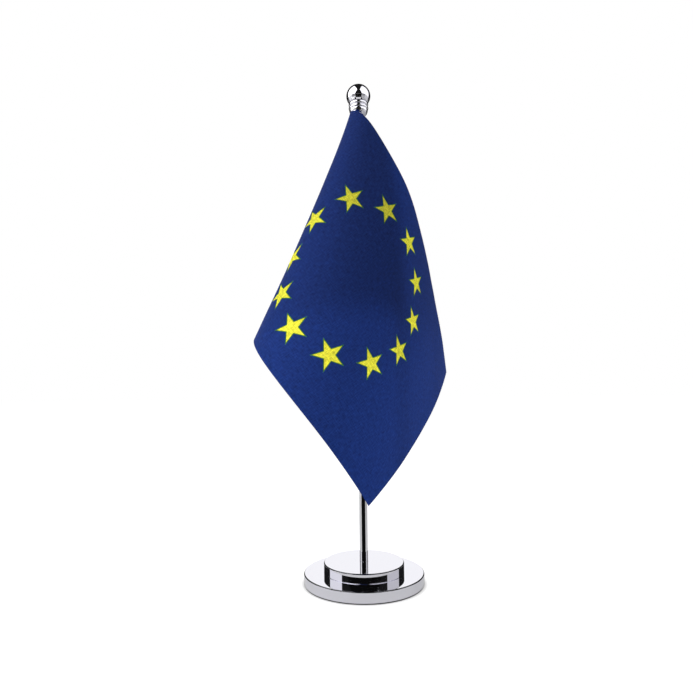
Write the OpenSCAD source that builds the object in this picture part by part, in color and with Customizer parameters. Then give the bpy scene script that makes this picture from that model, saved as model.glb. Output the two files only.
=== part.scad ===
// Desk flag stand: two stacked polished discs, a thin pole, a ball finial and a small
// flag that hangs folded from a sleeve. Millimetres, +Z up, table at z = 0, pole on Z.

/* [Base] */
// Diameter of the lower disc
base_d = 74; // [66:0.5:84]
// Height of the lower disc's top face above the table
base_top = 7.0; // [5.5:0.1:9]
// Diameter of the upper disc
riser_d = 49.5; // [40:0.5:58]
// Thickness of the upper disc
riser_t = 5.8; // [4.5:0.1:8]
// Chamfer on the discs' upper edges
edge_chamfer = 0.5; // [0.2:0.1:1]
// Chamfer on the discs' lower edges
foot_chamfer = 0.2; // [0.1:0.1:0.6]
// How far the foam pad stops short of the lower disc's edge
pad_inset = 0.4; // [0.2:0.1:6]
// Thickness of the foam pad
pad_t = 0.6; // [0.5:0.1:1.5]

/* [Pole] */
// Outer diameter of the pole tube
pole_d = 5; // [4.6:0.1:5.4]
// Wall of the pole tube
pole_wall = 0.5; // [0.4:0.1:0.6]
// Height of the pole's top end above the table
pole_top = 294.6; // [260:0.1:320]
// Length of the threaded plug in each end of the pole
plug_len = 12; // [8:0.5:16]

/* [Screws] */
// Nominal diameter of the base screw and of the finial's stud
thread_d = 3; // [2.6:0.1:3.2]
// How deep the stud screws into the pole
stud_depth = 4; // [3:0.5:6]

/* [Finial] */
// Diameter of the ball
ball_d = 15.6; // [13:0.1:18]
// Height of the ball, which is a little flatter than a sphere
ball_h = 14.8; // [13:0.1:18]
// Height of the ball's centre above the pole's top end
ball_rise = 14.2; // [12.8:0.05:15]
// Diameter of the two bead rings
bead_d = 12.7; // [11:0.1:13]
// Height of one bead ring
bead_t = 2.35; // [2:0.05:2.4]
// Height of the cup under the bead rings
cup_t = 3.65; // [3:0.05:4.2]

/* [Flag] */
// Length of the hoist edge, along the pole
hoist = 140; // [120:1:150]
// Length of the fly, from the pole's axis to the free edge
fly = 210; // [180:1:220]
// Thickness of the plain solid that stands for the cloth
cloth_t = 0.8; // [0.6:0.1:1]
// Clear gap between the pole and the sleeve
sleeve_gap = 0.4; // [0.35:0.05:0.6]
// Thickness of the sleeve's cloth
sleeve_wall = 0.5; // [0.4:0.1:0.8]

/* [Drape] */
// Heading in which the cloth leaves the pole, in degrees from +X
leave_heading = 141; // [110:1:180]
// Heading of the cloth past the fold, at the top edge
past_heading_top = 360; // [330:1:390]
// Heading of the cloth past the fold, at the bottom edge
past_heading_bottom = 374; // [330:1:390]
// How far the free wing curls on round, at the top edge
wing_curl_top = 16; // [0:1:100]
// How far it curls on round, at the bottom edge
wing_curl_bottom = 61; // [0:1:100]
// Distance from the pole to the fold, at the top edge
fold_start = 7.0; // [4:0.1:14]
// How fast the fold moves away from the pole down the hoist
fold_spread = 0.558; // [0.4:0.001:0.65]
// How far the line of the fold bows out at mid hoist
fold_bow = 6.1; // [0:0.1:10]
// Half-width of the fold's turn, at the top edge
fold_width = 14.2; // [10:0.1:24]
// How fast the turn widens down the hoist
fold_widening = 0.45; // [0.18:0.01:0.5]
// Second bend of the wing, at the top edge; it dies out towards the bottom edge
bend_angle = 53; // [0:1:80]
// Distance from the pole to the second bend, at the top edge
bend_start = 72; // [50:1:110]
// How fast the second bend moves away from the pole down the hoist
bend_spread = 0.74; // [0.4:0.01:1]
// Half-width of the second bend
bend_width = 22; // [8:1:40]
// Steepest fall of the threads that run along the fly, at the top edge, in degrees
fall_top = 59.3; // [45:0.1:65]
// Steepest fall at the bottom edge
fall_bottom = 53.1; // [40:0.1:62]
// Distance from the pole to where they begin to fall, at the top edge
fall_start = 18.7; // [10:0.1:24]
// How fast that place moves away from the pole down the hoist
fall_spread = 0.511; // [0.4:0.001:0.6]
// Half-width of the bend at which they begin to fall, at the top edge
fall_width = 9.5; // [6:0.1:18]
// How fast that bend widens down the hoist
fall_widening = 0.144; // [0.05:0.001:0.2]

/* [Hidden] */
$fn = 96;

slack = 0.05;                                  // radial play of every plain round fit
thread_r = thread_d / 2;
bore_r = thread_r + slack;                     // plain hole that stands for a thread
clear_r = thread_r + 0.15;                     // hole that a screw only passes through

base_bottom = pad_t;
riser_top = base_top + riser_t;
pad_d = base_d - 2 * pad_inset;

head_d = 5.6;                                  // pan head of the base screw
head_t = 2.1;
washer_d = 7;
washer_t = 0.5;
lock_d = 6;
lock_t = 0.8;
well_d = 9;                                    // well in the disc for head and washers
well_top = base_bottom + washer_t + lock_t + head_t + 0.3;

socket_depth = 1.5;                            // the pole's foot sits this deep in the riser
pole_foot = riser_top - socket_depth;
screw_reach = 9;                               // thread inside the pole's foot plug
pole_r = pole_d / 2;
plug_r = pole_r - pole_wall - 0.02;

cap_t = 0.5;
cap_bottom = pole_top + 0.3;
cap_top = cap_bottom + cap_t;
cup_bottom = cap_top + 0.3;
lower_bead_z = cup_bottom + cup_t;
upper_bead_z = lower_bead_z + bead_t;
ball_r = ball_d / 2;
ball_z = pole_top + ball_rise;
seat_z = upper_bead_z + bead_t + slack;        // flat on the ball's underside
stud_end = pole_top - stud_depth;
stud_hold = 5;                                 // length of stud fixed inside the ball

sleeve_in = pole_r + sleeve_gap;
sleeve_out = sleeve_in + sleeve_wall;
flag_top = cap_top;
panel_start = sleeve_in + sleeve_wall / 2;     // the panel leaves from inside the sleeve wall
fly_cells = 32;
hoist_cells = 14;
cell_steps = 4;                                // steps taken inside one cell of the fly

// One disc: a turned outline with a chamfer low and high.
module disc(d, z0, z1, low, high) {
    r = d / 2;
    rotate_extrude() polygon([[0, z0], [r - low, z0], [r, z0 + low], [r, z1 - high],
        [r - high, z1], [0, z1]]);
}

module ring(r_in, r_out, z0, z1) {
    translate([0, 0, z0]) difference() {
        cylinder(r = r_out, h = z1 - z0);
        translate([0, 0, -1]) cylinder(r = r_in, h = z1 - z0 + 2);
    }
}

// Lower disc: flat underside for the pad, well for the screw's head, hole for its shank.
module base_disc() color([0.86, 0.86, 0.88]) difference() {
    disc(base_d, base_bottom, base_top, foot_chamfer, edge_chamfer);
    cylinder(d = well_d, h = well_top);
    cylinder(r = clear_r, h = base_top + 1);
}

// Upper disc: hole for the screw and a shallow socket that centres the pole.
module riser_disc() color([0.88, 0.88, 0.90]) difference() {
    disc(riser_d, base_top, riser_top, foot_chamfer, edge_chamfer);
    translate([0, 0, base_top - 1]) cylinder(r = clear_r, h = riser_t + 2);
    translate([0, 0, pole_foot]) cylinder(r = pole_r + slack, h = socket_depth + 1);
}

module base_pad() color([0.10, 0.10, 0.11]) disc(pad_d, 0, pad_t, 0.1, 0.1);

// Pan-head screw with a cross recess, driven up from below.
module base_screw() color([0.62, 0.62, 0.60]) {
    head_top = well_top - washer_t - lock_t;
    difference() {
        union() {
            translate([0, 0, head_top - head_t]) cylinder(d = head_d, h = head_t);
            translate([0, 0, head_top - 0.01])
                cylinder(r = thread_r, h = pole_foot + screw_reach - head_top);
        }
        for (a = [0, 90]) rotate([0, 0, a])
            translate([-1.4, -0.35, head_top - head_t - 1]) cube([2.8, 0.7, 2.2]);
    }
}

module flat_washer() color([0.70, 0.70, 0.68])
    ring(clear_r, washer_d / 2, well_top - washer_t, well_top);

// Split spring washer, drawn flat, as it is when the screw is tight.
module lock_washer() color([0.66, 0.66, 0.64]) difference() {
    ring(clear_r, lock_d / 2, well_top - washer_t - lock_t, well_top - washer_t);
    rotate([0, 0, 20]) translate([0, -0.3, 0]) cube([lock_d, 0.6, well_top]);
}

module pole_tube() color([0.80, 0.80, 0.82])
    ring(pole_r - pole_wall, pole_r, pole_foot, pole_top);

// Threaded plugs pressed into the two ends of the tube.
module plug(z0) ring(bore_r, plug_r, z0, z0 + plug_len);
module pole_foot_plug() color([0.78, 0.66, 0.36]) plug(pole_foot);
module pole_top_plug() color([0.78, 0.66, 0.36]) plug(pole_top - plug_len);

// Turned cup: a small bowl that widens from the pole to the bead rings.
module finial_cup() color([0.88, 0.88, 0.90]) rotate_extrude()
    polygon(concat([[bore_r, cup_bottom]],
        [for (a = [0 : 10 : 90])
            [3.1 + 2.9 * sin(a), cup_bottom + cup_t - cup_t * cos(a)]],
        [[bore_r, cup_bottom + cup_t]]));

// Bead ring: flat faces, half-round rim.
module bead(z0) {
    half = bead_t / 2;
    rotate_extrude() polygon(concat([[bore_r, z0]],
        [for (a = [-90 : 10 : 90])
            [bead_d / 2 - half + half * cos(a), z0 + half + half * sin(a)]],
        [[bore_r, z0 + bead_t]]));
}
module bead_ring_lower() color([0.86, 0.86, 0.88]) bead(lower_bead_z);
module bead_ring_upper() color([0.86, 0.86, 0.88]) bead(upper_bead_z);

// Ball: flat seat below, blind hole that holds the stud.
module finial_ball() color([0.90, 0.90, 0.92]) {
    half = ball_h / 2;
    low = asin((seat_z - ball_z) / half);
    difference() {
        rotate_extrude() polygon(concat([[0, seat_z]],
            [for (i = [0 : 30]) let (a = low + (90 - low) * i / 30)
                [ball_r * cos(a), ball_z + half * sin(a)]]));
        translate([0, 0, seat_z - 1]) cylinder(r = thread_r, h = stud_hold + 1);
    }
}
module finial_stud() color([0.70, 0.70, 0.68])
    translate([0, 0, stud_end]) cylinder(r = thread_r, h = seat_z + stud_hold - stud_end);

// The drape. A thread along the fly starts at the pole at depth t below the top edge.
// Its heading turns through the fold, curls on and takes the second bend, while its fall
// rises from level to its steepest. s is the length along the thread.
function step01(x) = x > 20 ? 1 : x < -20 ? 0 : 1 / (1 + exp(-2 * x));
function ramp01(x) = x > 20 ? x : x < -20 ? 0 : ln(1 + exp(x));
function blend(a, b, u) = a + (b - a) * u;
function heading(s, t) =
    let (u = t / hoist, w = fold_width + fold_widening * t,
        x = (s - fold_start - fold_spread * t + 4 * fold_bow * u * (1 - u)) / w,
        past = blend(past_heading_top, past_heading_bottom, u))
    leave_heading + (past - leave_heading) * step01(x)
        + blend(wing_curl_top, wing_curl_bottom, u) * w * ramp01(x) / fly
        + bend_angle * (1 - u) * step01((s - bend_start - bend_spread * t) / bend_width);
function fall(s, t) = blend(fall_top, fall_bottom, t / hoist)
    * step01((s - fall_start - fall_spread * t) / (fall_width + fall_widening * t));
function way(s, t) =
    let (h = heading(s, t), f = fall(s, t)) [cos(f) * cos(h), cos(f) * sin(h), -sin(f)];
function thread_path(t) =
    let (n = fly_cells * cell_steps, ds = (fly - panel_start) / n,
        h0 = heading(0, t),
        p0 = [panel_start * cos(h0), panel_start * sin(h0), flag_top - t])
    [for (i = 0, p = p0; i <= n; p = p + ds * way(panel_start + (i + 0.5) * ds, t), i = i + 1)
        if (i % cell_steps == 0) p];
function unit(v) = v / norm(v);
function clamp_i(i, n) = min(max(i, 0), n);
function at(k, j, i) = (k * (hoist_cells + 1) + j) * (fly_cells + 1) + i;

// The cloth as a thin closed solid: the drape moved half its thickness to each side.
module flag_panel() color([0.11, 0.17, 0.43]) {
    nu = fly_cells;
    nv = hoist_cells;
    g = [for (j = [0 : nv]) thread_path(hoist * j / nv)];
    nrm = [for (j = [0 : nv]) [for (i = [0 : nu])
        unit(cross(g[j][clamp_i(i + 1, nu)] - g[j][clamp_i(i - 1, nu)],
            g[clamp_i(j + 1, nv)][i] - g[clamp_i(j - 1, nv)][i]))]];
    pts = [for (k = [-1, 1]) for (j = [0 : nv]) for (i = [0 : nu])
        g[j][i] + k * cloth_t / 2 * nrm[j][i]];
    face = [for (j = [0 : nv - 1]) for (i = [0 : nu - 1]) each [
        [at(0, j, i), at(0, j + 1, i), at(0, j + 1, i + 1)],
        [at(0, j, i), at(0, j + 1, i + 1), at(0, j, i + 1)],
        [at(1, j, i), at(1, j + 1, i + 1), at(1, j + 1, i)],
        [at(1, j, i), at(1, j, i + 1), at(1, j + 1, i + 1)]]];
    rim = concat([for (i = [0 : nu - 1]) [0, i, 0, i + 1]],
        [for (j = [0 : nv - 1]) [j, nu, j + 1, nu]],
        [for (i = [nu : -1 : 1]) [nv, i, nv, i - 1]],
        [for (j = [nv : -1 : 1]) [j, 0, j - 1, 0]]);
    wall = [for (e = rim) each [
        [at(0, e[0], e[1]), at(0, e[2], e[3]), at(1, e[2], e[3])],
        [at(0, e[0], e[1]), at(1, e[2], e[3]), at(1, e[0], e[1])]]];
    polyhedron(points = pts, faces = concat(face, wall), convexity = 6);
}

// Sleeve sewn along the hoist, and the closed end that hangs it on the pole's top.
module flag_sleeve() color([0.10, 0.16, 0.40])
    ring(sleeve_in, sleeve_out, flag_top - hoist, cap_bottom);
module sleeve_cap() color([0.10, 0.16, 0.40])
    ring(thread_r + 0.4, sleeve_out, cap_bottom, cap_top);

base_disc();
riser_disc();
base_pad();
base_screw();
flat_washer();
lock_washer();
pole_tube();
pole_foot_plug();
pole_top_plug();
finial_cup();
bead_ring_lower();
bead_ring_upper();
finial_ball();
finial_stud();
flag_panel();
flag_sleeve();
sleeve_cap();
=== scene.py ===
import math
import bmesh
import bpy
from mathutils import Matrix, Vector, noise


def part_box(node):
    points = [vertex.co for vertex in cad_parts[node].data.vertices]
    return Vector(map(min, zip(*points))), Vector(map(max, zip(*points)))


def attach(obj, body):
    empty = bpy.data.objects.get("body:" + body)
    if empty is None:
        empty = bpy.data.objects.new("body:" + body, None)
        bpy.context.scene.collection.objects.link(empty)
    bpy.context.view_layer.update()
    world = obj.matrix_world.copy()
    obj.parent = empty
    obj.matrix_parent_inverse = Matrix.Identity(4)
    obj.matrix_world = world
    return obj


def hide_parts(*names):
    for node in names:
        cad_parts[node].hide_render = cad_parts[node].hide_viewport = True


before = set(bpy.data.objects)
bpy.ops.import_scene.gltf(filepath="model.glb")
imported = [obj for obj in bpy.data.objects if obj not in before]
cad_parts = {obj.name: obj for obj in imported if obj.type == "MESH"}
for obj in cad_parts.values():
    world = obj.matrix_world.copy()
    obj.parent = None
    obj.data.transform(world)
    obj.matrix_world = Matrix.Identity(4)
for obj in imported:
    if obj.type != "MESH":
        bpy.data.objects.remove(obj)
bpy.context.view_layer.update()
MM = 0.001

# ---------------------------------------------------------------- camera
# A close camera a little above the base and well below the finial, so the discs are seen
# from above and the ball from below. It tilts up slightly and leans a touch to one side.
camera_place = Vector((-9.4, -366.0, 123.2)) * MM
camera_tilt = math.radians(3.55)
camera_lean = math.radians(0.6)
camera_lens = 30.1
ahead = Vector((0, math.cos(camera_tilt), math.sin(camera_tilt)))
level_up = Vector((0, -math.sin(camera_tilt), math.cos(camera_tilt)))
level_right = Vector((1, 0, 0))
right = math.cos(camera_lean) * level_right - math.sin(camera_lean) * level_up
up = math.sin(camera_lean) * level_right + math.cos(camera_lean) * level_up
camera_data = bpy.data.cameras.new("camera")
camera_data.lens = camera_lens
camera_data.sensor_width = 36
camera_data.clip_start = 0.01
camera = bpy.data.objects.new("camera", camera_data)
bpy.context.collection.objects.link(camera)
camera.matrix_world = Matrix.Translation(camera_place) @ Matrix((right, up, -ahead)).transposed().to_4x4()
bpy.context.scene.camera = camera

# ---------------------------------------------------------------- light table
# A white table top of a studio, lit from inside, so that things on it throw hardly any
# shadow; a thin painted contact shadow dims its glow right where things stand on it. What
# polished metal mirrors of it is dimmer, more so far out.
def as_object(bm, name):
    """The shape as a new object of that name in the scene."""
    mesh = bpy.data.meshes.new(name)
    bm.to_mesh(mesh)
    bm.free()
    o = bpy.data.objects.new(name, mesh)
    bpy.context.collection.objects.link(o)
    return o

def remap(nodes, links, value, old, new):
    """The value's old range stretched to the new one, and held at its ends."""
    node = nodes.new("ShaderNodeMapRange")
    node.inputs["From Min"].default_value, node.inputs["From Max"].default_value = old
    node.inputs["To Min"].default_value, node.inputs["To Max"].default_value = new
    links.new(value, node.inputs["Value"])
    return node.outputs["Result"]

bm = bmesh.new()
bmesh.ops.create_grid(bm, x_segments=1, y_segments=1, size=4.0)
table_top = as_object(bm, "table")
table_white = bpy.data.materials.new("table_white")
table_white.use_nodes = True
nodes, links = table_white.node_tree.nodes, table_white.node_tree.links
surface = nodes["Principled BSDF"]
surface.inputs["Roughness"].default_value = 0.7
surface.inputs["Specular IOR Level"].default_value = 0.1
surface.inputs["Base Color"].default_value = (0.25, 0.25, 0.25, 1)
surface.inputs["Emission Color"].default_value = (1, 1, 1, 1)
place = nodes.new("ShaderNodeTexCoord")
reach = nodes.new("ShaderNodeVectorMath")
reach.operation = "LENGTH"
links.new(place.outputs["Object"], reach.inputs[0])
mirrored = remap(nodes, links, reach.outputs["Value"], (0.08, 0.30), (0.47, 0.33))
# Painted contact shadow: an occlusion mask that darkens the table's glow within 3 mm of things on it.
painted_contact_shadow = nodes.new("ShaderNodeAmbientOcclusion")
painted_contact_shadow.inputs["Distance"].default_value = 3 * MM
path = nodes.new("ShaderNodeLightPath")
glow = remap(nodes, links, path.outputs["Is Camera Ray"], (0, 1), (0, 1))
links.new(mirrored, glow.node.inputs["To Min"])
shaded = nodes.new("ShaderNodeMath")
shaded.operation = "MULTIPLY"
links.new(glow, shaded.inputs[0])
links.new(painted_contact_shadow.outputs["AO"], shaded.inputs[1])
links.new(shaded.outputs[0], surface.inputs["Emission Strength"])
table_top.data.materials.append(table_white)

# ---------------------------------------------------------------- studio cards
# Flat cards of even light or black cloth, each a strip through rows of points. Only what is
# polished shows them: the camera doesn't, and they don't light the flag. far_side is the
# light of a card's other face.
def card(name, rows, light, far_side=None):
    bm = bmesh.new()
    last = None
    for row in rows:
        pair = [bm.verts.new(point) for point in row]
        if last:
            bm.faces.new((last[0], last[1], pair[1], pair[0]))
        last = pair
    o = as_object(bm, name)
    mat = bpy.data.materials.new(name)
    mat.use_nodes = True
    nodes, links = mat.node_tree.nodes, mat.node_tree.links
    nodes.clear()
    shine = nodes.new("ShaderNodeEmission")
    shine.inputs["Color"].default_value = (1, 1, 1, 1)
    shine.inputs["Strength"].default_value = light
    if far_side is not None:
        side = nodes.new("ShaderNodeNewGeometry")
        level = remap(nodes, links, side.outputs["Backfacing"], (0, 1), (light, far_side))
        links.new(level, shine.inputs["Strength"])
    out = nodes.new("ShaderNodeOutputMaterial")
    links.new(shine.outputs["Emission"], out.inputs["Surface"])
    o.data.materials.append(mat)
    o.visible_camera = False
    o.visible_shadow = False
    o.visible_diffuse = False
    o.visible_transmission = False

# Two softboxes lean together over the stand like a tent, with a slot of dark between. Side
# walls stand below them, and a backdrop behind.
for side, light in ((-1, 2.2), (1, 1.3)):
    card("softbox", [[(side * 0.55, -0.895, 0.32), (side * 0.55, 0.20, 0.32)],
                     [(side * 0.22, -0.895, 1.00), (side * 0.22, 0.08, 1.00)]], light)
for side, light in ((-1, 0.95), (1, 0.65)):
    card("side_wall", [[(side * 0.62, -0.28, 0.0), (side * 0.62, 0.26, 0.0)],
                       [(side * 0.62, -0.28, 0.32), (side * 0.62, 0.26, 0.32)]], light)
card("backdrop", [[(-0.2, 0.75, 0.0), (0.2, 0.75, 0.0)],
                  [(-0.2, 0.75, 0.42), (0.2, 0.75, 0.42)]], 1.05)

# In front, below the camera: a shelf with a black underside, and black cloth on it and
# on the table, which reach out as a wedge. A light strip hovers over the table's cloth.
def level_card(name, z, rows, light, far_side):
    card(name, [[(-x, y, z), (x, y, z)] for x, y in rows], light, far_side)

black = 0.004
level_card("front_shelf", 0.160, [(0.85, -0.90), (0.85, -0.35)], 0.33, black)
level_card("shelf_cloth", 0.162, [(0.54, -0.90), (0.21, -0.35)], black, black)
level_card("table_cloth", 0.0004, [(1.8, -3.0), (0.26, -0.43), (0.26, -0.19), (0.14, -0.10)], black, black)
# The table cloth's near end is cut round, to follow the lower disc.
spread = [math.radians(a) for a in range(-54, 55, 6)]
card("cloth_end", [[(r * math.sin(a), -r * math.cos(a), 0.0005) for r in (0.066, 0.19)] for a in spread],
     black, black)
level_card("light_strip", 0.060, [(0.19, -0.31), (0.07, -0.116)], 0.75, black)

# The room round the cards: white where the camera looks past the table, dim elsewhere.
world = bpy.data.worlds.new("room")
bpy.context.scene.world = world
world.use_nodes = True
nodes, links = world.node_tree.nodes, world.node_tree.links
room = nodes["Background"]
room.inputs["Color"].default_value = (1, 1, 1, 1)
path = nodes.new("ShaderNodeLightPath")
level = remap(nodes, links, path.outputs["Is Camera Ray"], (0, 1), (0.012, 1.0))
links.new(level, room.inputs["Strength"])
bpy.context.scene.view_settings.view_transform = "Standard"

# Three lamps, which polished metal doesn't mirror: one low on the left models the flag, a
# broad one in front lifts the rest, and one behind shines through where the cloth is single.
def lamp(name, place, aim, size, watts):
    data = bpy.data.lights.new(name, "AREA")
    data.shape = "SQUARE"
    data.size = size
    data.energy = watts
    o = bpy.data.objects.new(name, data)
    bpy.context.collection.objects.link(o)
    o.location = place
    o.rotation_euler = (Vector(aim) - Vector(place)).to_track_quat("-Z", "Y").to_euler()
    o.visible_glossy = False

lamp("key_lamp", (-0.60, -0.30, 0.06), (-0.03, 0, 0.12), 0.25, 8.5)
lamp("fill_lamp", (0.20, -0.75, 0.65), (0, 0, 0.22), 0.5, 5.0)
lamp("back_lamp", (-0.32, 0.36, 0.06), (-0.02, 0, 0.12), 0.2, 3.0)

# ---------------------------------------------------------------- lower disc
# A steel disc turned flat, chamfered, polished and chromed. Polishing leaves rings too
# fine to feel, and a haze where fingers have been.
def material(name):
    mat = bpy.data.materials.new(name)
    mat.use_nodes = True
    tree = mat.node_tree
    return mat, tree.nodes, tree.links, tree.nodes["Principled BSDF"]

def new_group(name, ins, outs):
    group = bpy.data.node_groups.new(name, "ShaderNodeTree")
    for label, kind, value in ins:
        socket = group.interface.new_socket(label, in_out="INPUT", socket_type=kind)
        if value is not None:
            socket.default_value = value
    for label, kind in outs:
        group.interface.new_socket(label, in_out="OUTPUT", socket_type=kind)
    return group, group.nodes.new("NodeGroupInput"), group.nodes.new("NodeGroupOutput")

def place_group(nodes, links, group, source, settings):
    """The group in a material, fed at its first input, with its other inputs set."""
    node = nodes.new("ShaderNodeGroup")
    node.node_tree = group
    for label, value in settings.items():
        node.inputs[label].default_value = value
    links.new(source, node.inputs[0])
    return node

def in_relief(nodes, links, shader, height, strength, depth):
    """The height as a bump of that strength and depth on the shader's surface."""
    relief = nodes.new("ShaderNodeBump")
    relief.inputs["Strength"].default_value = strength
    relief.inputs["Distance"].default_value = depth
    links.new(height, relief.inputs["Height"])
    links.new(relief.outputs["Normal"], shader.inputs["Normal"])

def toned(nodes, links, mask, first, last):
    """A colour that runs from the first to the last as the mask rises."""
    tone = nodes.new("ShaderNodeValToRGB")
    tone.color_ramp.elements[0].color = (*first, 1)
    tone.color_ramp.elements[1].color = (*last, 1)
    links.new(mask, tone.inputs["Fac"])
    return tone.outputs["Color"]

# Rings: noise read against the distance from the axis and the height, so the marks run
# round the part. Haze: slow cloudy patches. Both come out as plain masks.
polish_marks, start, end = new_group(
    "polish_marks",
    [("Position", "NodeSocketVector", None), ("Ring Scale", "NodeSocketFloat", 1.0),
     ("Haze Scale", "NodeSocketFloat", 60.0)],
    [("Rings", "NodeSocketFloat"), ("Haze", "NodeSocketFloat")])
nodes, links = polish_marks.nodes, polish_marks.links
split = nodes.new("ShaderNodeSeparateXYZ")
links.new(start.outputs["Position"], split.inputs[0])
flat = nodes.new("ShaderNodeCombineXYZ")
links.new(split.outputs["X"], flat.inputs["X"])
links.new(split.outputs["Y"], flat.inputs["Y"])
reach = nodes.new("ShaderNodeVectorMath")
reach.operation = "LENGTH"
links.new(flat.outputs[0], reach.inputs[0])
lathe_place = nodes.new("ShaderNodeCombineXYZ")
links.new(reach.outputs["Value"], lathe_place.inputs["X"])
links.new(split.outputs["Z"], lathe_place.inputs["Z"])
stretched = nodes.new("ShaderNodeVectorMath")
stretched.operation = "SCALE"
links.new(lathe_place.outputs[0], stretched.inputs[0])
links.new(start.outputs["Ring Scale"], stretched.inputs["Scale"])
rings = nodes.new("ShaderNodeTexNoise")
rings.inputs["Scale"].default_value = 4200
rings.inputs["Detail"].default_value = 3
links.new(stretched.outputs[0], rings.inputs["Vector"])
links.new(rings.outputs["Fac"], end.inputs["Rings"])
haze = nodes.new("ShaderNodeTexNoise")
haze.inputs["Detail"].default_value = 4
haze.inputs["Roughness"].default_value = 0.65
links.new(start.outputs["Position"], haze.inputs["Vector"])
links.new(start.outputs["Haze Scale"], haze.inputs["Scale"])
links.new(haze.outputs["Fac"], end.inputs["Haze"])

# Chamfers: a mask of the faces that slope, neither level nor upright. Their chrome is painted
# near black there, a painted dark reflection, so they stay darker than what is polished.
chamfer_slope, slope_margin = 0.7, 0.25
painted_dark_chamfers, start, end = new_group(
    "painted_dark_chamfers", [("Normal", "NodeSocketVector", None)], [("Sloping", "NodeSocketFloat")])
nodes, links = painted_dark_chamfers.nodes, painted_dark_chamfers.links
split = nodes.new("ShaderNodeSeparateXYZ")
links.new(start.outputs["Normal"], split.inputs[0])
steep = nodes.new("ShaderNodeMath")
steep.operation = "COMPARE"
steep.inputs[1].default_value = chamfer_slope
steep.inputs[2].default_value = slope_margin
links.new(split.outputs["Z"], steep.inputs[0])
links.new(steep.outputs[0], end.inputs["Sloping"])

def polished(name, colour, smooth=0.015, hazy=0.07, ring_depth=0.02, ring_scale=1.0):
    mat, nodes, links, metal = material(name)
    metal.inputs["Metallic"].default_value = 1.0
    metal.inputs["Base Color"].default_value = (*colour, 1)
    place = nodes.new("ShaderNodeTexCoord")
    marks = place_group(nodes, links, polish_marks, place.outputs["Object"],
                        {"Ring Scale": ring_scale, "Haze Scale": 60.0})
    dull = remap(nodes, links, marks.outputs["Haze"], (0.45, 0.85), (smooth, hazy))
    links.new(dull, metal.inputs["Roughness"])
    in_relief(nodes, links, metal, marks.outputs["Rings"], ring_depth, 0.02 * MM)
    return mat

# Turning: an outline of (radius, height) points spun about the pole's axis. Sharp corners are
# broken by the corner size, if one is given, and gentle ones are shaded smooth. In radians:
sharp_corner, gentle_corner = 0.5, math.radians(30)

def turned(name, outline, corner=0.0, steps=128, closed=True):
    bm = bmesh.new()
    verts = [bm.verts.new((r, 0, z)) for r, z in outline]
    pairs = list(zip(verts, verts[1:])) + ([(verts[-1], verts[0])] if closed else [])
    edges = [bm.edges.new(pair) for pair in pairs]
    bmesh.ops.spin(bm, geom=verts + edges, cent=(0, 0, 0), axis=(0, 0, 1), dvec=(0, 0, 0),
                   angle=math.tau, steps=steps, use_merge=True, use_duplicate=False)
    bmesh.ops.remove_doubles(bm, verts=bm.verts, dist=1e-7)
    bmesh.ops.recalc_face_normals(bm, faces=bm.faces)
    if corner:
        sharp = [e for e in bm.edges if len(e.link_faces) == 2 and e.calc_face_angle() > sharp_corner]
        bmesh.ops.bevel(bm, geom=sharp, offset=corner, offset_type="OFFSET", segments=3, profile=0.5,
                        affect="EDGES", material=-1, clamp_overlap=True)
    o = as_object(bm, name)
    o.data.shade_smooth()
    o.data.set_sharp_from_angle(angle=gentle_corner)
    even = o.modifiers.new("even_faces", "WEIGHTED_NORMAL")
    even.keep_sharp = True
    even.weight = 100
    return o

def finish_piece(o, mat, body, slot, *nodes):
    """Its material, the body it moves with, and the CAD nodes it stands for, which it hides. The slot is not
    used.
    """
    o.data.materials.clear()
    o.data.materials.append(mat)
    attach(o, body)
    if nodes:
        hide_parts(*nodes)

# The chrome's tone, and a near-black one for the painted dark reflection on the discs' chamfers.
chrome_tone, painted_chamfer_dark = (0.83, 0.825, 0.885), (0.06, 0.06, 0.065)
chrome = polished("polished_chrome", chrome_tone)
disc_chrome = polished("disc_chrome", chrome_tone)
nodes, links = disc_chrome.node_tree.nodes, disc_chrome.node_tree.links
# The discs' chrome gets a painted dark reflection: near black on its sloping chamfers and rounded edges.
place = nodes.new("ShaderNodeTexCoord")
slopes = place_group(nodes, links, painted_dark_chamfers, place.outputs["Normal"], {})
tone = toned(nodes, links, slopes.outputs["Sloping"], chrome_tone, painted_chamfer_dark)
links.new(tone, nodes["Principled BSDF"].inputs["Base Color"])
low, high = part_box("base_disc")
base_r, base_low, base_top = high[0], low[2], high[2]
well_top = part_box("flat_washer")[1][2]
screw_hole_r, well_r = 1.65 * MM, 4.5 * MM
chamfer, foot, burr = 0.5 * MM, 0.2 * MM, 0.08 * MM
lower_disc = turned("lower_disc", [
    (screw_hole_r, well_top), (well_r, well_top), (well_r, base_low), (base_r - foot, base_low),
    (base_r, base_low + foot), (base_r, base_top - chamfer), (base_r - chamfer, base_top),
    (screw_hole_r, base_top)], corner=burr, steps=192)
finish_piece(lower_disc, disc_chrome, "stand", "polished_chrome", "base_disc")

# ---------------------------------------------------------------- upper disc
# The same turned and chromed steel, smaller, with a shallow socket for the pole's foot.
low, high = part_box("riser_disc")
riser_r, riser_low, riser_top = high[0], low[2], high[2]
pole_low, pole_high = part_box("pole_tube")
socket_play = 0.05 * MM
socket_r = pole_high[0] + socket_play
upper_disc = turned("upper_disc", [
    (screw_hole_r, riser_low), (riser_r - foot, riser_low), (riser_r, riser_low + foot),
    (riser_r, riser_top - chamfer), (riser_r - chamfer, riser_top), (socket_r, riser_top),
    (socket_r, pole_low[2]), (screw_hole_r, pole_low[2])], corner=burr, steps=160)
finish_piece(upper_disc, disc_chrome, "stand", "polished_chrome", "riser_disc")
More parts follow.
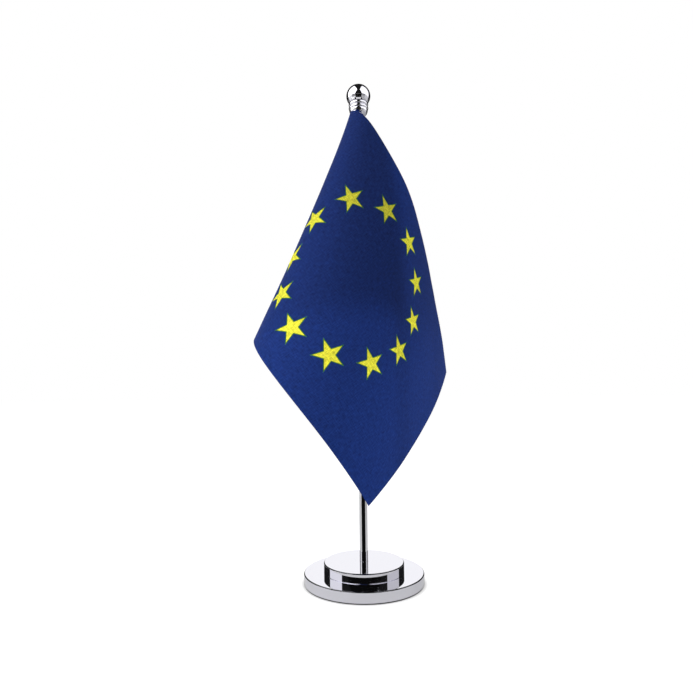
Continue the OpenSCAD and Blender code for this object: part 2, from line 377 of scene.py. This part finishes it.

# ---------------------------------------------------------------- foam pad
# Die-cut closed-cell foam, stuck under the lower disc and a hair smaller than it, so it shows as a
# thin black line. The foam is black, and its edge stands in as painted shade for the shade in the
# gap under the disc. Its cut edge is a little rounded and its skin is pitted.
pad_foam, nodes, links, surface = material("black_foam")
place = nodes.new("ShaderNodeTexCoord")
cells = nodes.new("ShaderNodeTexVoronoi")
cells.inputs["Scale"].default_value = 1600
links.new(place.outputs["Object"], cells.inputs["Vector"])
dust = nodes.new("ShaderNodeTexNoise")
dust.inputs["Scale"].default_value = 140
dust.inputs["Detail"].default_value = 5
links.new(place.outputs["Object"], dust.inputs["Vector"])
tone = toned(nodes, links, dust.outputs["Fac"], (0.012, 0.012, 0.014), (0.05, 0.05, 0.055))
links.new(tone, surface.inputs["Base Color"])
in_relief(nodes, links, surface, cells.outputs["Distance"], 0.5, 0.2 * MM)
surface.inputs["Roughness"].default_value = 0.92
pad_low, pad_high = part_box("base_pad")
foam_pad = turned("foam_pad", [
    (0.0, pad_low[2]), (pad_high[0], pad_low[2]), (pad_high[0], pad_high[2]), (0.0, pad_high[2])],
    corner=0.12 * MM, steps=160, closed=False)
finish_piece(foam_pad, pad_foam, "stand", "black_foam", "base_pad")

# ---------------------------------------------------------------- base screw and washers
# A zinc-plated pan-head screw from below with a flat and a split washer, in the lower disc's
# well above the pad, out of sight. They stay the CAD solids, with dull, mottled plating.
def coat_solids(names, mat):
    for name in names:
        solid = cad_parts[name]
        solid.data.materials.clear()
        solid.data.materials.append(mat)

zinc = polished("zinc_steel", (0.55, 0.55, 0.52), smooth=0.25, hazy=0.45, ring_depth=0.15, ring_scale=0.4)
coat_solids(("base_screw", "flat_washer", "lock_washer"), zinc)

# ---------------------------------------------------------------- pole
# Thin-walled stainless tube, drawn and polished along its length, with a plug pressed
# into each end. The top rim is faced off and broken.
steel = polished("polished_steel", (0.80, 0.80, 0.83), smooth=0.02, hazy=0.09, ring_depth=0.015,
                 ring_scale=0.25)
tube_wall = 0.5 * MM
bore_r = pole_high[0] - tube_wall
pole = turned("pole", [
    (bore_r, pole_low[2]), (pole_high[0], pole_low[2]), (pole_high[0], pole_high[2]), (bore_r, pole_high[2])],
    corner=0.1 * MM, steps=64)
finish_piece(pole, steel, "stand", "polished_steel", "pole_tube")
brass = polished("turned_brass", (0.74, 0.55, 0.25), smooth=0.18, hazy=0.35, ring_depth=0.12, ring_scale=0.5)
coat_solids(("pole_foot_plug", "pole_top_plug"), brass)

# ---------------------------------------------------------------- finial cup and bead rings
# Three small turned and chromed rings threaded on the ball's stud: a bowl that widens
# upwards, then two beads with half-round rims.
low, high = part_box("finial_cup")
cup_low, cup_high = low[2], high[2]
cup_depth = cup_high - cup_low
hole_r = 1.55 * MM
cup_rim = 6.0 * MM
cup_foot = 3.1 * MM
quarter_turn = [math.radians(a) for a in range(0, 91, 6)]
finial_cup = turned("cup", [(hole_r, cup_low)] + [
    (cup_foot + (cup_rim - cup_foot) * math.sin(a), cup_high - cup_depth * math.cos(a))
    for a in quarter_turn] + [(hole_r, cup_high)], corner=0.06 * MM, steps=96)
finish_piece(finial_cup, chrome, "finial_collar", "polished_chrome", "finial_cup")
half_turn = [math.radians(a) for a in range(-90, 91, 10)]
for which in ("lower", "upper"):
    low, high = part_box("bead_ring_" + which)
    half = (high[2] - low[2]) / 2
    middle = (high[2] + low[2]) / 2
    bead = turned("bead_" + which, [(hole_r, low[2])] + [
        (high[0] - half + half * math.cos(a), middle + half * math.sin(a)) for a in half_turn]
        + [(hole_r, high[2])], steps=96)
    finish_piece(bead, chrome, "finial_collar", "polished_chrome", "bead_ring_" + which)

# ---------------------------------------------------------------- ball
# A turned and chromed ball, a little flattened, with a level seat on its underside. Its
# stud is fixed in a hole there.
low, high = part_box("finial_ball")
ball_r = high[0]
ball_half = 7.4 * MM
ball_z = high[2] - ball_half
seat_z = low[2]
seat_angle = math.asin((seat_z - ball_z) / ball_half)
stud_hole_r = 1.5 * MM
ball_cells = 48
rise = [seat_angle + (math.pi / 2 - seat_angle) * i / ball_cells for i in range(ball_cells)]
ball = turned("ball", [(stud_hole_r, seat_z)] + [
    (ball_r * math.cos(a), ball_z + ball_half * math.sin(a)) for a in rise] + [(0.0, ball_z + ball_half)],
    steps=96, closed=False)
finish_piece(ball, chrome, "finial_knob", "polished_chrome", "finial_ball")

# ---------------------------------------------------------------- stud
# Zinc-plated threaded rod: one thread's outline wound upwards a pitch for each turn, round
# a plain core.
low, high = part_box("finial_stud")
pitch = 0.5 * MM
stud_r = high[0]
root_r = stud_r - 0.6 * pitch
turns = int((high[2] - low[2]) / pitch) - 1
steps_per_turn = 20
bm = bmesh.new()
outline = [(root_r, 0.0), (root_r, 0.12 * pitch), (stud_r, 0.45 * pitch), (stud_r, 0.6 * pitch),
           (root_r, pitch)]
verts = [bm.verts.new((r, 0, low[2] + z)) for r, z in outline]
edges = [bm.edges.new(pair) for pair in zip(verts, verts[1:])]
bmesh.ops.spin(bm, geom=verts + edges, cent=(0, 0, 0), axis=(0, 0, 1), dvec=(0, 0, pitch / steps_per_turn),
               angle=math.tau * turns, steps=steps_per_turn * turns, use_merge=False, use_duplicate=False)
bmesh.ops.remove_doubles(bm, verts=bm.verts, dist=1e-6)
core_r = root_r + 0.02 * MM
core_middle = Matrix.Translation((0, 0, (low[2] + high[2]) / 2))
bmesh.ops.create_cone(bm, cap_ends=True, cap_tris=False, segments=24, radius1=core_r, radius2=core_r,
                      depth=high[2] - low[2], matrix=core_middle)
stud = as_object(bm, "stud")
stud.data.shade_smooth()
stud.data.set_sharp_from_angle(angle=math.radians(35))
finish_piece(stud, zinc, "finial_knob", "zinc_steel", "finial_stud")

# ---------------------------------------------------------------- flag cloth
# Printed woven polyester, heat-cut to size. It leaves the pole, folds round at the left
# and comes forward, and its free wing turns away at the right. The drape is worked out
# thread by thread: s runs along the fly from the pole, t down the hoist.
fly, hoist = 0.210, 0.140
low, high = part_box("sleeve_cap")
flag_top = high[2]
sleeve_r = high[0]
panel_start = sleeve_r - 0.25 * MM

# Where each thread heads, in degrees, at the pole and past the fold, the curl and the bend
# of the free wing, and how steeply it falls: at the flag's top and at its bottom.
leave_heading = 141.0
past_top, past_bottom = 360.0, 374.0
curl_top, curl_bottom = 16.0, 61.0
fold_start, fold_spread, fold_bow = 7.0 * MM, 0.558, 6.1 * MM
fold_width, fold_widening = 14.2 * MM, 0.45
bend_angle, bend_start, bend_spread, bend_width = 53.0, 72 * MM, 0.74, 22 * MM
fall_top, fall_bottom = 59.3, 53.1
fall_start, fall_spread = 18.7 * MM, 0.511
fall_width, fall_widening = 9.5 * MM, 0.144

def step01(x):
    """A smooth step from 0 to 1 as x passes 0."""
    return 1 / (1 + math.exp(-2 * x))

def heading(s, t):
    """Which way the thread at t runs at s, seen from above."""
    u = t / hoist
    w = fold_width + fold_widening * t
    x = (s - fold_start - fold_spread * t + 4 * fold_bow * u * (1 - u)) / w
    past = past_top + (past_bottom - past_top) * u
    curl = curl_top + (curl_bottom - curl_top) * u
    bend = bend_angle * (1 - u) * step01((s - bend_start - bend_spread * t) / bend_width)
    return math.radians(leave_heading + (past - leave_heading) * step01(x)
                        + curl * w * math.log1p(math.exp(x)) / fly + bend)

def fall(s, t):
    """How steeply the thread at t goes down at s."""
    steepest = fall_top + (fall_bottom - fall_top) * t / hoist
    x = (s - fall_start - fall_spread * t) / (fall_width + fall_widening * t)
    return math.radians(steepest * step01(x))

def thread_path(t, cells, steps=4):
    """Points along one thread of the fly, cells + 1 of them."""
    ds = (fly - panel_start) / (cells * steps)
    away = heading(0, t)
    p = Vector((panel_start * math.cos(away), panel_start * math.sin(away), flag_top - t))
    points = [p.copy()]
    for i in range(cells * steps):
        s = panel_start + (i + 0.5) * ds
        h, f = heading(s, t), fall(s, t)
        p += ds * Vector((math.cos(f) * math.cos(h), math.cos(f) * math.sin(h), -math.sin(f)))
        if (i + 1) % steps == 0:
            points.append(p.copy())
    return points

fly_cells, hoist_cells = 138, 92
drape = [thread_path(hoist * j / hoist_cells, fly_cells) for j in range(hoist_cells + 1)]

def on_drape(s, t):
    """Place and outward normal of the cloth at s, t, read from the drape's own grid."""
    x = min(max((s - panel_start) / (fly - panel_start) * fly_cells, 0), fly_cells - 1e-6)
    y = min(max(t / hoist * hoist_cells, 0), hoist_cells - 1e-6)
    i, j = int(x), int(y)
    a, b, c, d = drape[j][i], drape[j][i + 1], drape[j + 1][i], drape[j + 1][i + 1]
    p = a.lerp(b, x - i).lerp(c.lerp(d, x - i), y - j)
    return p, (b - a).cross(c - a).normalized()

# Handling creases: a few soft ridges that run slantwise over the panel, and a faint
# unevenness everywhere, both pushed along the cloth's normal. They die out at the sleeve.
ridge_height, dent_height, fine_height = 0.28, 0.35, 0.07
ridge_step, sleeve_calm = 34 * MM, 20 * MM
ridge_slant, ridge_turn, ridge_wander = 0.55, 2.1, 1.3

def unevenness(s, t, per_metre, layer):
    """Smooth noise between -1 and 1, with this many swells in a metre along s and along t."""
    return noise.noise(Vector((s * per_metre[0], t * per_metre[1], layer)))

def crease(s, t):
    settle = min(1.0, (s - panel_start) / sleeve_calm)
    slant = (s * ridge_slant + t) / ridge_step
    wave = math.sin(slant * ridge_turn + ridge_wander * unevenness(s, t, (14, 14), 2.0))
    strength = 0.5 + 0.5 * unevenness(s, t, (9, 9), 11.0)
    dents = unevenness(s, t, (30, 22), 5.0)
    fine = unevenness(s, t, (90, 60), 8.0)
    return settle * MM * (ridge_height * wave * strength + dent_height * dents + fine_height * fine)

def cloth_grid(along, down):
    """A unit square of cells. Its UV map keeps the flat cloth's place while it is shaped."""
    bm = bmesh.new()
    bmesh.ops.create_grid(bm, x_segments=along, y_segments=down, size=0.5)
    flat_place = bm.loops.layers.uv.new("flat_cloth")
    for face in bm.faces:
        for loop in face.loops:
            loop[flat_place].uv = (loop.vert.co.x + 0.5, loop.vert.co.y + 0.5)
    return bm

bm = cloth_grid(fly_cells, hoist_cells)
for v in bm.verts:
    s = panel_start + (v.co.x + 0.5) * (fly - panel_start)
    t = (0.5 - v.co.y) * hoist
    p, normal = on_drape(s, t)
    v.co = p + normal * crease(s, t)
flag = as_object(bm, "flag_cloth")
flag.data.shade_smooth()

def scalar(nodes, links, operation, a, b=None):
    """One step of arithmetic on numbers or sockets, as a socket."""
    node = nodes.new("ShaderNodeMath")
    node.operation = operation
    for socket, value in zip(node.inputs, (a, b)):
        if value is None:
            continue
        if isinstance(value, (int, float)):
            socket.default_value = value
        else:
            links.new(value, socket)
    return node.outputs[0]

# The weave: warp and weft pass over and under each other; slubs make single threads
# thicker. Position is the flat cloth's, in metres.
weave, start, end = new_group(
    "plain_weave",
    [("Position", "NodeSocketVector", None), ("Thread", "NodeSocketFloat", 0.4 * MM)],
    [("Height", "NodeSocketFloat"), ("Tint", "NodeSocketFloat")])
nodes, links = weave.nodes, weave.links
split = nodes.new("ShaderNodeSeparateXYZ")
links.new(start.outputs["Position"], split.inputs[0])
rate = scalar(nodes, links, "DIVIDE", math.pi, start.outputs["Thread"])
across = scalar(nodes, links, "SINE", scalar(nodes, links, "MULTIPLY", split.outputs["X"], rate))
down = scalar(nodes, links, "SINE", scalar(nodes, links, "MULTIPLY", split.outputs["Y"], rate))
over_under = scalar(nodes, links, "MULTIPLY", across, down)
links.new(scalar(nodes, links, "ABSOLUTE", over_under), end.inputs["Height"])
slubs = []
slub_length, slub_width = 300.0, 1700.0
for stretch in ((slub_length, slub_width, 0.0), (slub_width, slub_length, 3.0)):
    shape = nodes.new("ShaderNodeMapping")
    shape.inputs["Scale"].default_value = stretch
    links.new(start.outputs["Position"], shape.inputs["Vector"])
    slub = nodes.new("ShaderNodeTexNoise")
    slub.inputs["Scale"].default_value = 1.0
    slub.inputs["Detail"].default_value = 2
    links.new(shape.outputs[0], slub.inputs["Vector"])
    slubs.append(slub.outputs["Fac"])
links.new(scalar(nodes, links, "MULTIPLY", scalar(nodes, links, "ADD", *slubs), 0.5), end.inputs["Tint"])

# The print: twelve upright five-pointed stars on a ring. The angle round the ring picks
# the nearest star's centre; the angle round that centre is folded onto half a point.
stars, start, end = new_group(
    "star_ring",
    [("Position", "NodeSocketVector", None), ("Ring Radius", "NodeSocketFloat", 50 * MM),
     ("Star Radius", "NodeSocketFloat", 9 * MM), ("Bleed", "NodeSocketFloat", 0.4 * MM)],
    [("Star", "NodeSocketFloat"), ("Rim", "NodeSocketFloat")])
nodes, links = stars.nodes, stars.links

def calc(operation, a, b=None):
    return scalar(nodes, links, operation, a, b)

split = nodes.new("ShaderNodeSeparateXYZ")
links.new(start.outputs["Position"], split.inputs[0])
x, y = split.outputs["X"], split.outputs["Y"]
star_step = math.tau / 12
star_number = calc("ROUND", calc("DIVIDE", calc("ARCTAN2", y, x), star_step))
round_ring = calc("MULTIPLY", star_number, star_step)
star_x = calc("SUBTRACT", x, calc("MULTIPLY", calc("COSINE", round_ring), start.outputs["Ring Radius"]))
star_y = calc("SUBTRACT", y, calc("MULTIPLY", calc("SINE", round_ring), start.outputs["Ring Radius"]))
reach = calc("SQRT", calc("ADD", calc("MULTIPLY", star_x, star_x), calc("MULTIPLY", star_y, star_y)))
point = math.tau / 5
turned_by = calc("ADD", calc("ARCTAN2", star_x, star_y), point / 2 + math.tau)
folded = calc("ABSOLUTE", calc("SUBTRACT", calc("MODULO", turned_by, point), point / 2))
inner = math.sin(math.radians(18)) / math.sin(math.radians(54))
flank = math.atan2(1 - inner * math.cos(point / 2), inner * math.sin(point / 2))
along = calc("ADD", calc("MULTIPLY", calc("COSINE", folded), math.cos(flank)),
             calc("MULTIPLY", calc("SINE", folded), math.sin(flank)))
outside = calc("SUBTRACT", calc("MULTIPLY", reach, along),
               calc("MULTIPLY", start.outputs["Star Radius"], math.cos(flank)))
ink_edge = 0.1 * MM

def edge_mask(shift):
    mask = remap(nodes, links, calc("SUBTRACT", outside, shift), (ink_edge, -ink_edge), (0, 1))
    mask.node.interpolation_type = "SMOOTHSTEP"
    return mask

links.new(edge_mask(0.0), end.inputs["Star"])
links.new(edge_mask(start.outputs["Bleed"]), end.inputs["Rim"])

def flat_metres(nodes, links, width, shift=(0, 0, 0)):
    """Where a point lies on the flat cloth, in metres, moved by the shift."""
    flat_map = nodes.new("ShaderNodeUVMap")
    flat_map.uv_map = "flat_cloth"
    metres = nodes.new("ShaderNodeMapping")
    metres.inputs["Scale"].default_value = (width, hoist, 1)
    metres.inputs["Location"].default_value = shift
    links.new(flat_map.outputs["UV"], metres.inputs["Vector"])
    return metres.outputs[0]

# Both cloths: threads of uneven tint, a fine relief and a dull face with a little sheen.
# Each layer lets a share of the light from behind through, so two together look darker.
light_through = 0.4

def shade_cloth(nodes, links, surface, colour, tint, height):
    threads = remap(nodes, links, tint, (0.3, 0.7), (0.55, 1.45))
    shade = nodes.new("ShaderNodeVectorMath")
    shade.operation = "SCALE"
    if isinstance(colour, tuple):
        shade.inputs[0].default_value = colour
    else:
        links.new(colour, shade.inputs[0])
    links.new(threads, shade.inputs["Scale"])
    links.new(shade.outputs[0], surface.inputs["Base Color"])
    in_relief(nodes, links, surface, height, 0.35, 0.08 * MM)
    surface.inputs["Roughness"].default_value = 0.75
    surface.inputs["Specular IOR Level"].default_value = 0.15
    surface.inputs["Sheen Weight"].default_value = 0.06
    surface.inputs["Sheen Roughness"].default_value = 0.45
    through = nodes.new("ShaderNodeBsdfTranslucent")
    links.new(shade.outputs[0], through.inputs["Color"])
    both = nodes.new("ShaderNodeMixShader")
    both.inputs["Fac"].default_value = light_through
    links.new(surface.outputs["BSDF"], both.inputs[1])
    links.new(through.outputs["BSDF"], both.inputs[2])
    links.new(both.outputs["Shader"], nodes["Material Output"].inputs["Surface"])

def mixed(nodes, links, factor, a, b):
    node = nodes.new("ShaderNodeMix")
    node.data_type = "RGBA"
    links.new(factor, node.inputs["Factor"])
    for socket, colour in ((node.inputs["A"], a), (node.inputs["B"], b)):
        if isinstance(colour, tuple):
            socket.default_value = (*colour, 1)
        else:
            links.new(colour, socket)
    return node.outputs["Result"]

ring_centre = (105 * MM, 70 * MM)
thread_spacing = 0.42 * MM
field_blue = (0.0075, 0.026, 0.150)
ink_green = (0.040, 0.150, 0.030)
star_yellow = (0.80, 0.76, 0.050)
printed_cloth, nodes, links, surface = material("printed_cloth")
to_ring = (panel_start - ring_centre[0], ring_centre[1] - hoist, 0)
metres = flat_metres(nodes, links, fly - panel_start, to_ring)
printed_stars = place_group(nodes, links, stars, metres, {
    "Ring Radius": 48.1 * MM, "Star Radius": 8.4 * MM, "Bleed": 0.5 * MM})
threads = place_group(nodes, links, weave, metres, {"Thread": thread_spacing})
with_rim = mixed(nodes, links, printed_stars.outputs["Rim"], field_blue, ink_green)
ink = mixed(nodes, links, printed_stars.outputs["Star"], with_rim, star_yellow)
raised = scalar(nodes, links, "ADD", threads.outputs["Height"], threads.outputs["Tint"])
shade_cloth(nodes, links, surface, ink, threads.outputs["Tint"], raised)
finish_piece(flag, printed_cloth, "flag", "blue_cloth", "flag_panel")

# ---------------------------------------------------------------- sleeve
# The hoist edge turned back on itself round the pole and sewn down: a loose loop of the
# same cloth, with a flap that lies on the panel's back as far as the seam.
flap_end = 9.0 * MM
flap_gap = 0.30 * MM
loop_r = sleeve_r - 0.1 * MM
loop_play, loop_slack, slack_swells = 0.12 * MM, 0.22 * MM, 45
loop_cells, sleeve_rows = 44, 70
flap_share, join_share = 0.28, 0.06

def sleeve_point(u, v):
    """u runs from the flap's edge round the pole to the panel, v down the hoist."""
    t = v * hoist
    if u < flap_share:
        s = flap_end + (panel_start - flap_end) * u / flap_share
        p, normal = on_drape(s, t)
        return p + normal * flap_gap
    away = heading(0, t)
    around = (u - flap_share) / (1 - flap_share)
    first, normal = on_drape(panel_start, t)
    first = first + normal * flap_gap
    side = 1 if normal.cross(Vector((math.cos(away), math.sin(away), 0))).z < 0 else -1
    angle = away + side * math.tau * around
    slack = loop_slack * noise.noise(Vector((math.cos(angle), math.sin(angle), t * slack_swells)))
    r = loop_r + loop_play + slack * math.sin(math.pi * around)
    round_pole = Vector((r * math.cos(angle), r * math.sin(angle), flag_top - t))
    join = min(1.0, around / join_share)
    close = max(0.0, (around - (1 - join_share)) / join_share)
    return first.lerp(round_pole, join).lerp(on_drape(panel_start, t)[0], close)

bm = cloth_grid(loop_cells, sleeve_rows)
for v in bm.verts:
    v.co = sleeve_point(v.co.x + 0.5, 0.5 - v.co.y)
sleeve = as_object(bm, "sleeve")
sleeve.data.shade_smooth()

# The same cloth without the print. Flat, it is as wide as the flap and the loop together.
sleeve_width = 29 * MM
plain_cloth, nodes, links, surface = material("plain_cloth")
metres = flat_metres(nodes, links, sleeve_width)
threads = place_group(nodes, links, weave, metres, {"Thread": thread_spacing})
shade_cloth(nodes, links, surface, field_blue, threads.outputs["Tint"], threads.outputs["Height"])
finish_piece(sleeve, plain_cloth, "flag", "blue_cloth", "flag_sleeve")

# ---------------------------------------------------------------- sleeve's closed top
# The loop's top is gathered over the pole's end and whipped round the stud's hole: a
# small puckered disc of cloth.
low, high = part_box("sleeve_cap")
cap_low, cap_high = low[2], high[2]
cap_hole, cap_dip = 1.95 * MM, 0.05 * MM
rim = 0.22 * MM
top_cap = turned("top_cap", [
    (cap_hole, cap_low + 0.1 * MM), (cap_hole + rim, cap_low), (sleeve_r - rim, cap_low),
    (sleeve_r, cap_low + rim), (sleeve_r - rim, cap_high), (cap_hole + rim, cap_high - cap_dip)],
    steps=96)
puckers, pucker_height = 18, 0.05 * MM
for v in top_cap.data.vertices:
    angle = math.atan2(v.co.y, v.co.x)
    v.co.z += pucker_height * math.sin(puckers * angle) * (math.hypot(v.co.x, v.co.y) / sleeve_r)
flat_top = top_cap.data.uv_layers.new(name="flat_cloth")
for loop in top_cap.data.loops:
    co = top_cap.data.vertices[loop.vertex_index].co
    flat_top.data[loop.index].uv = (co.x / sleeve_width + 0.5, co.y / hoist + 0.5)
finish_piece(top_cap, plain_cloth, "flag", "blue_cloth", "sleeve_cap")

# ---------------------------------------------------------------- stitches
# Two rows of lockstitch through panel and flap, one by the pole and one by the flap's
# edge. Each stitch shows as a short raised bead of thread on both faces.
thread_with_twist_shade, nodes, links, surface = material("sewing_thread")
place = nodes.new("ShaderNodeTexCoord")
# The twist: diagonal bands of the same blue, lighter and darker, are painted shade of the thread's twisted
# plies.
twist_shade = nodes.new("ShaderNodeTexWave")
twist_shade.inputs["Scale"].default_value = 1500
twist_shade.bands_direction = "DIAGONAL"
links.new(place.outputs["Object"], twist_shade.inputs["Vector"])
tone = toned(nodes, links, twist_shade.outputs["Fac"], (0.012, 0.026, 0.11), (0.04, 0.075, 0.26))
links.new(tone, surface.inputs["Base Color"])
surface.inputs["Roughness"].default_value = 0.5
stitch_pitch, stitch_gap, thread_r = 2.6 * MM, 0.5 * MM, 0.13 * MM
stitch_proud = 0.14 * MM
seams = (5.2 * MM, 8.2 * MM)
bm = bmesh.new()
stitches_in_row = int(hoist / stitch_pitch)
for s in seams:
    for i in range(stitches_in_row):
        t = (i + 0.5) * hoist / stitches_in_row
        centre, normal = on_drape(s, t)
        above, _ = on_drape(s, t - 0.4 * stitch_pitch)
        below, _ = on_drape(s, t + 0.4 * stitch_pitch)
        lengthwise = (below - above).normalized()
        sideways = normal.cross(lengthwise)
        turn = Matrix((sideways, lengthwise, normal)).transposed().to_4x4()
        size = Matrix.Diagonal((thread_r, (stitch_pitch - stitch_gap) / 2, thread_r * 0.8, 1))
        for offset in (-stitch_proud, flap_gap + stitch_proud):
            where = Matrix.Translation(centre + normal * offset)
            bmesh.ops.create_icosphere(bm, subdivisions=2, radius=1.0, matrix=where @ turn @ size)
stitches = as_object(bm, "stitches")
stitches.data.shade_smooth()
finish_piece(stitches, thread_with_twist_shade, "flag", "sewing_thread")
